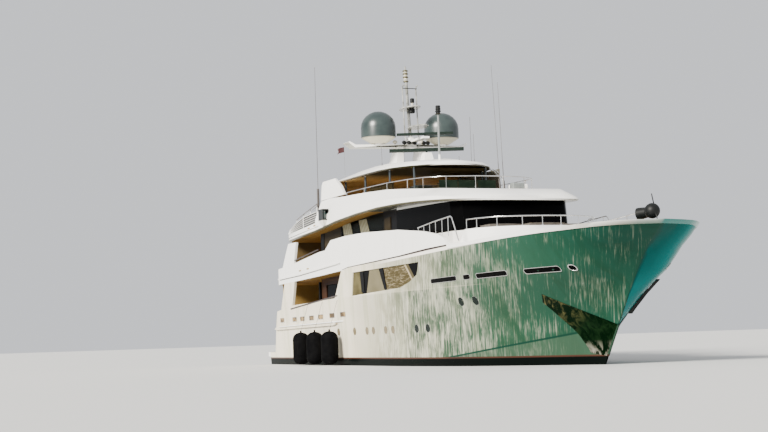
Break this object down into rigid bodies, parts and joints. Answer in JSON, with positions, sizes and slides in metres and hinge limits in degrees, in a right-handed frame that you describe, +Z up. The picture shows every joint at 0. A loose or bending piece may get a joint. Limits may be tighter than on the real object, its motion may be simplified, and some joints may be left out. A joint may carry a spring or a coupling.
{
  "type": "motor yacht",
  "caption": "Three-deck displacement motor yacht with a raised raked bow, wrap-round wheelhouse glass, open aft decks, sun deck under a hardtop and a winged mast with satellite domes.",
  "frame": {"origin": "amidships on the centreline, at the height of the design waterline", "axes": "+X forward to the bow, +Y to port, +Z up; the waterline is the plane Z = 0"},
  "size_m": [39.6241, 8.8978, 18.1749],
  "materials": {
    "white": "glossy white marine paint",
    "glass": "dark tinted glass",
    "steel": "polished stainless steel",
    "dome": "smooth satin moulding",
    "dark": "matt black",
    "teak": "oiled teak",
    "bronze": "cast bronze, lightly polished",
    "grey": "satin grey-green paint",
    "cloth": "outdoor upholstery",
    "rubber": "soft black rubber"
  },
  "bodies": {
    "yacht": {"hull": "white", "topside_stbd": "white", "topside_port": "white", "bow_bulwark_stbd": "white", "bow_bulwark_port": "white", "cap_rail": "white", "swim_platform": "teak", "main_house": "white", "saloon_glass_stbd": "glass", "saloon_glass_port": "glass", "upper_deck": "white", "upper_house": "white", "wheelhouse_glass": "glass", "sundeck": "white", "arch_leg_stbd": "white", "arch_leg_port": "white", "hardtop": "white", "mast": "white", "dome_stbd": "dome", "dome_port": "dome", "whip_aft": "steel", "whips_forward": "steel", "side_light_stbd": "white", "side_light_port": "white", "louvre_stbd": "white", "louvre_port": "white", "trunk": "white", "trunk_rail": "steel", "hand_rail_stbd": "steel", "hand_rail_port": "steel", "foredeck_rail": "steel", "sundeck_rail": "steel", "jackstaff": "dark", "bow_lamp": "dark", "windlass": "steel", "anchor_plate_stbd": "steel", "anchor_plate_port": "steel", "anchor_port": "dark", "fender_1": "rubber", "fender_2": "rubber", "fender_3": "rubber", "aft_sofa": "cloth", "aft_table": "teak", "sundeck_bar": "white", "sundeck_seat": "cloth"},
    "propeller_stbd": {"propeller_stbd": "bronze"},
    "propeller_port": {"propeller_port": "bronze"},
    "rudder_stbd": {"rudder_stbd": "dark"},
    "rudder_port": {"rudder_port": "dark"},
    "fin_stbd": {"fin_stbd": "dark"},
    "fin_port": {"fin_port": "dark"},
    "radar_lower": {"radar_lower": "grey"},
    "radar_upper": {"radar_upper": "grey"},
    "stern_door": {"stern_door": "white"},
    "saloon_door_stbd": {"saloon_door_stbd": "glass"},
    "saloon_door_port": {"saloon_door_port": "glass"},
    "lounge_door_stbd": {"lounge_door_stbd": "glass"},
    "lounge_door_port": {"lounge_door_port": "glass"},
    "wheelhouse_door_stbd": {"wheelhouse_door_stbd": "white"},
    "wheelhouse_door_port": {"wheelhouse_door_port": "white"}
  },
  "joints": [
    {"name": "propeller_stbd_spin", "type": "hinge", "parent": "yacht", "child": "propeller_stbd", "pos_m": [-15.35, -1.7, -1.602], "axis": [0.9976, 0, 0.0696], "continuous": true},
    {"name": "rudder_stbd_steer", "type": "hinge", "parent": "yacht", "child": "rudder_stbd", "pos_m": [-16.55, -1.7, -1], "axis": [0, 0, 1], "range_deg": [-35, 35]},
    {"name": "propeller_port_spin", "type": "hinge", "parent": "yacht", "child": "propeller_port", "pos_m": [-15.35, 1.7, -1.602], "axis": [0.9976, 0, 0.0696], "continuous": true},
    {"name": "rudder_port_steer", "type": "hinge", "parent": "yacht", "child": "rudder_port", "pos_m": [-16.55, 1.7, -1], "axis": [0, 0, 1], "range_deg": [-35, 35]},
    {"name": "fin_port_tilt", "type": "hinge", "parent": "yacht", "child": "fin_port", "pos_m": [-0.8, 2.955, -1.055], "axis": [0, 0.8192, -0.5736], "range_deg": [-20, 20]},
    {"name": "fin_stbd_tilt", "type": "hinge", "parent": "yacht", "child": "fin_stbd", "pos_m": [-0.8, -2.955, -1.055], "axis": [0, -0.8192, -0.5736], "range_deg": [-20, 20]},
    {"name": "radar_lower_spin", "type": "hinge", "parent": "yacht", "child": "radar_lower", "pos_m": [-2.25, 0, 10.6], "axis": [0, 0, 1], "continuous": true},
    {"name": "radar_upper_spin", "type": "hinge", "parent": "yacht", "child": "radar_upper", "pos_m": [-2.4, 0, 11.5], "axis": [0, 0, 1], "continuous": true},
    {"name": "stern_door_lift", "type": "hinge", "parent": "yacht", "child": "stern_door", "pos_m": [-16.48, 0, 2.05], "axis": [0, 1, 0], "range_deg": [0, 80]},
    {"name": "saloon_door_stbd_slide", "type": "slide", "parent": "yacht", "child": "saloon_door_stbd", "axis": [0, -1, 0], "range_m": [0, 0.95]},
    {"name": "lounge_door_stbd_slide", "type": "slide", "parent": "yacht", "child": "lounge_door_stbd", "axis": [0, -1, 0], "range_m": [0, 0.95]},
    {"name": "saloon_door_port_slide", "type": "slide", "parent": "yacht", "child": "saloon_door_port", "axis": [0, 1, 0], "range_m": [0, 0.95]},
    {"name": "lounge_door_port_slide", "type": "slide", "parent": "yacht", "child": "lounge_door_port", "axis": [0, 1, 0], "range_m": [0, 0.95]},
    {"name": "wheelhouse_door_stbd_swing", "type": "hinge", "parent": "yacht", "child": "wheelhouse_door_stbd", "pos_m": [0, -2.98, 6.2], "axis": [0, 0, 1], "range_deg": [0, 80]},
    {"name": "wheelhouse_door_port_swing", "type": "hinge", "parent": "yacht", "child": "wheelhouse_door_port", "pos_m": [0, 2.98, 6.2], "axis": [0, 0, -1], "range_deg": [0, 80]}
  ]
}
